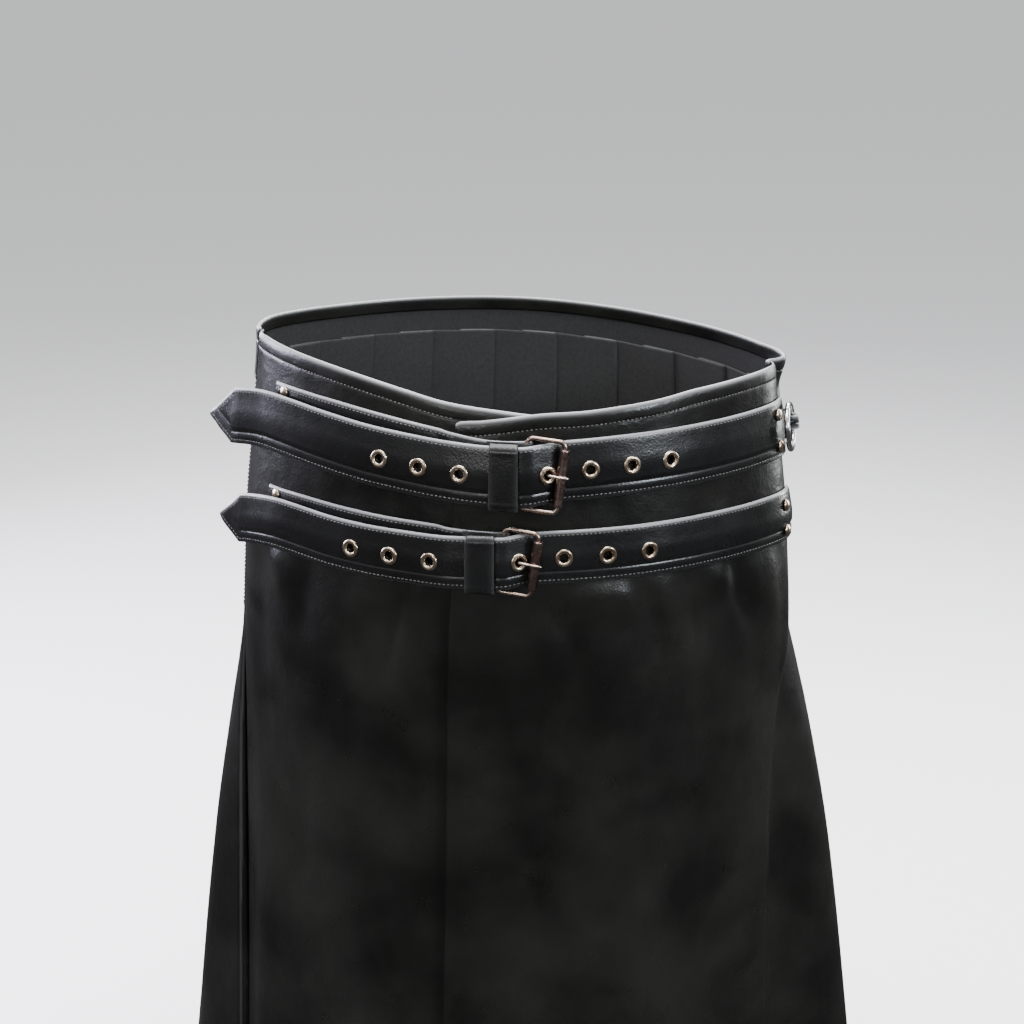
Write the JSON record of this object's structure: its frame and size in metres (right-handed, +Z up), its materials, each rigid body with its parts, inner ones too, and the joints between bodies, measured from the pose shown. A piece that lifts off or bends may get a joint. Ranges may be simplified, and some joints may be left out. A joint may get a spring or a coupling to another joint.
{
  "type": "leather kilt",
  "caption": "Leather wrap kilt with overlapping flat aprons, a knife-pleated back, buckled straps with eyelets across the front and a ring at the side.",
  "frame": {"origin": "centre of the waist opening, at the height where the kilt is held round the wearer's waist", "axes": "+Z up, front towards -Y, +X towards the viewer's right when looking at the front"},
  "size_m": [0.5206, 0.3405, 0.5924],
  "materials": {
    "apron_leather": "smooth, glossy, fine grain",
    "back_leather": "smooth, glossy, fine grain",
    "strap_leather": "smooth, glossy, stitched edges",
    "gunmetal": "dark, warm, polished",
    "brass": "polished, pale",
    "ring_silver": "polished"
  },
  "bodies": {
    "root": {"under_apron": "apron_leather", "outer_apron": "apron_leather", "pleated_back": "back_leather", "back_waistband": "back_leather", "upper_buckle_strap": "strap_leather", "upper_tip_strap": "strap_leather", "upper_keeper": "strap_leather", "upper_buckle_frame": "gunmetal", "upper_roller": "gunmetal", "upper_prong": "gunmetal", "upper_eyelet_1": "brass", "upper_eyelet_2": "brass", "upper_eyelet_3": "brass", "upper_eyelet_4": "brass", "upper_eyelet_5": "brass", "upper_eyelet_6": "brass", "upper_eyelet_7": "brass", "upper_eyelet_8": "brass", "upper_left_rivet_1": "brass", "upper_left_rivet_2": "brass", "upper_right_rivet_1": "brass", "upper_right_rivet_2": "brass", "lower_buckle_strap": "strap_leather", "lower_tip_strap": "strap_leather", "lower_keeper": "strap_leather", "lower_buckle_frame": "gunmetal", "lower_roller": "gunmetal", "lower_prong": "gunmetal", "lower_eyelet_1": "brass", "lower_eyelet_2": "brass", "lower_eyelet_3": "brass", "lower_eyelet_4": "brass", "lower_eyelet_5": "brass", "lower_eyelet_6": "brass", "lower_eyelet_7": "brass", "lower_eyelet_8": "brass", "lower_left_rivet_1": "brass", "lower_left_rivet_2": "brass", "lower_right_rivet_1": "brass", "lower_right_rivet_2": "brass", "side_ring": "ring_silver", "ring_tab": "strap_leather", "ring_tab_rivet": "brass"}
  },
  "joints": []
}
